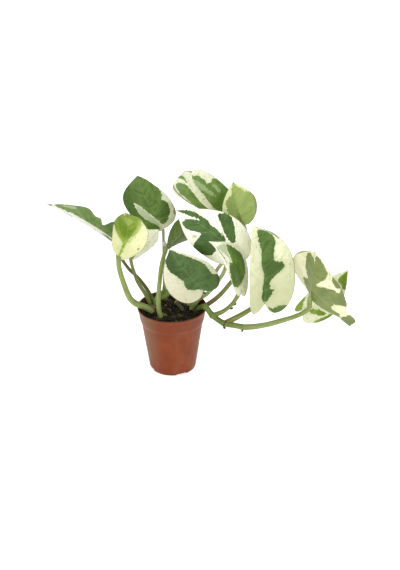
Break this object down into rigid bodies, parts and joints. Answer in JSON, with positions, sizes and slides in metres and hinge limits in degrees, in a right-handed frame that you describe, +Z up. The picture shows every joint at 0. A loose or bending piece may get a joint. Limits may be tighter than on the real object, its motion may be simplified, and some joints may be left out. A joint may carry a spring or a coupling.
{
  "type": "potted pothos plant",
  "caption": "Young variegated pothos with cream and green heart-shaped leaves on arching stalks, rooted in soil in a small round tapered plastic nursery pot that rests on its flat base.",
  "frame": {"origin": "centre of the pot's flat underside, on the surface it stands on", "axes": "+Z up along the pot's axis, -Y the front of the plant, +X the side where the trailing stem hangs out"},
  "size_m": [0.2599, 0.1028, 0.1721],
  "materials": {
    "pot_plastic": "satin terracotta-coloured thin plastic",
    "soil": "moist dark peat with fine fibres",
    "leaf": "waxy leaf, green with cream variegation",
    "stem": "smooth light green stem",
    "dry_stem": "dry tan cutting"
  },
  "bodies": {
    "root": {"pot": "pot_plastic", "soil": "soil", "vine_stem": "stem", "cut_stub": "dry_stem", "leaf_far_left": "leaf", "leaf_young_cupped": "leaf", "leaf_upper_left": "leaf", "leaf_front": "leaf", "leaf_shaded": "leaf", "leaf_centre": "leaf", "leaf_curled": "leaf", "leaf_right_tall": "leaf", "leaf_top": "leaf", "leaf_right_outer": "leaf", "leaf_cream": "leaf", "leaf_right_young": "leaf", "leaf_top_young": "leaf"}
  },
  "joints": []
}
